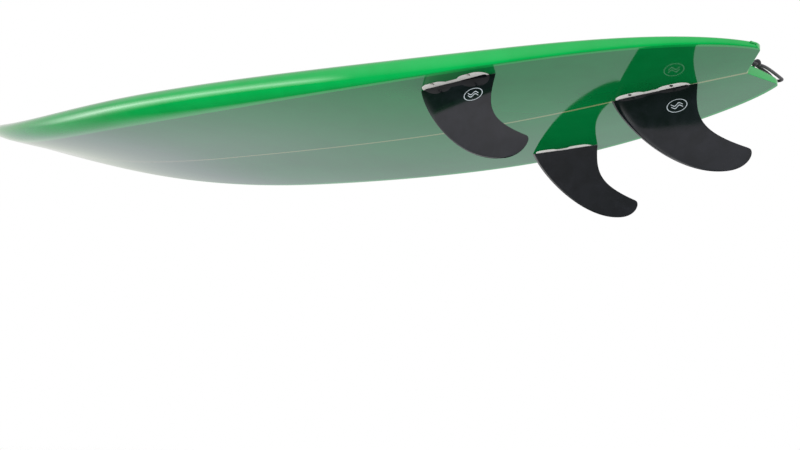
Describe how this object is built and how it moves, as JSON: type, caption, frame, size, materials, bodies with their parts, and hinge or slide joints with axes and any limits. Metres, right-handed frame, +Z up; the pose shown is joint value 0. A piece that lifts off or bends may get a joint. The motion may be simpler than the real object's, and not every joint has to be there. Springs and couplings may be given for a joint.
{
  "type": "shortboard surfboard",
  "caption": "Swallow-tail shortboard with a tinted laminate over a split foam core, removable fins in boxes with grub screws, and a leash string.",
  "frame": {"origin": "on the stringer plane at mid-length, level with the lowest fin tips", "axes": "+X towards the tail, +Y towards the right rail, +Z up through the deck"},
  "size_m": [1.8825, 0.552, 0.2307],
  "materials": {
    "green_laminate": "gloss",
    "stringer_wood": "satin",
    "foam": "matte",
    "black_fin": "gloss",
    "white_moulding": "satin",
    "black_moulding": "satin",
    "stainless": "satin",
    "black_cord": "matte"
  },
  "bodies": {
    "board": {"bottom_laminate": "green_laminate", "deck_laminate": "green_laminate", "stringer": "stringer_wood", "left_foam_core": "foam", "right_foam_core": "foam", "centre_fin_box": "white_moulding", "left_fin_box": "white_moulding", "right_fin_box": "white_moulding", "leash_plug_cup": "black_moulding", "leash_plug_bar": "stainless", "leash_string": "black_cord", "leash_knot": "black_cord"},
    "centre_fin_body": {"centre_fin": "black_fin"},
    "left_fin_body": {"left_fin": "black_fin"},
    "right_fin_body": {"right_fin": "black_fin"},
    "centre_front_screw_body": {"centre_front_grub_screw": "stainless"},
    "centre_rear_screw_body": {"centre_rear_grub_screw": "stainless"},
    "left_front_screw_body": {"left_front_grub_screw": "stainless"},
    "left_rear_screw_body": {"left_rear_grub_screw": "stainless"},
    "right_front_screw_body": {"right_front_grub_screw": "stainless"},
    "right_rear_screw_body": {"right_rear_grub_screw": "stainless"}
  },
  "joints": [
    {"name": "centre_fin_slide", "type": "slide", "parent": "board", "child": "centre_fin_body", "axis": [0.1125, 0, -0.9937], "range_m": [0, 0.014]},
    {"name": "left_fin_slide", "type": "slide", "parent": "board", "child": "left_fin_body", "axis": [0.0751, -0.2115, -0.9745], "range_m": [0, 0.014]},
    {"name": "right_fin_slide", "type": "slide", "parent": "board", "child": "right_fin_body", "axis": [0.0751, 0.2115, -0.9745], "range_m": [0, 0.014]},
    {"name": "centre_front_screw_turn", "type": "hinge", "parent": "board", "child": "centre_front_screw_body", "pos_m": [0.77353, -0.0105, 0.12587], "axis": [0.0862, -0.6428, -0.7612], "range_deg": [0, 1080]},
    {"name": "centre_rear_screw_turn", "type": "hinge", "parent": "board", "child": "centre_rear_screw_body", "pos_m": [0.82619, -0.0105, 0.13183], "axis": [0.0862, -0.6428, -0.7612], "range_deg": [0, 1080]},
    {"name": "left_front_screw_turn", "type": "hinge", "parent": "board", "child": "left_front_screw_body", "pos_m": [0.57977, -0.18493, 0.10969], "axis": [0.0209, -0.7897, -0.6131], "range_deg": [0, 1080]},
    {"name": "left_rear_screw_turn", "type": "hinge", "parent": "board", "child": "left_rear_screw_body", "pos_m": [0.63253, -0.18705, 0.11421], "axis": [0.0209, -0.7897, -0.6131], "range_deg": [0, 1080]},
    {"name": "right_front_screw_turn", "type": "hinge", "parent": "board", "child": "right_front_screw_body", "pos_m": [0.57977, 0.18493, 0.10969], "axis": [0.0209, 0.7897, -0.6131], "range_deg": [0, 1080]},
    {"name": "right_rear_screw_turn", "type": "hinge", "parent": "board", "child": "right_rear_screw_body", "pos_m": [0.63253, 0.18705, 0.11421], "axis": [0.0209, 0.7897, -0.6131], "range_deg": [0, 1080]}
  ]
}
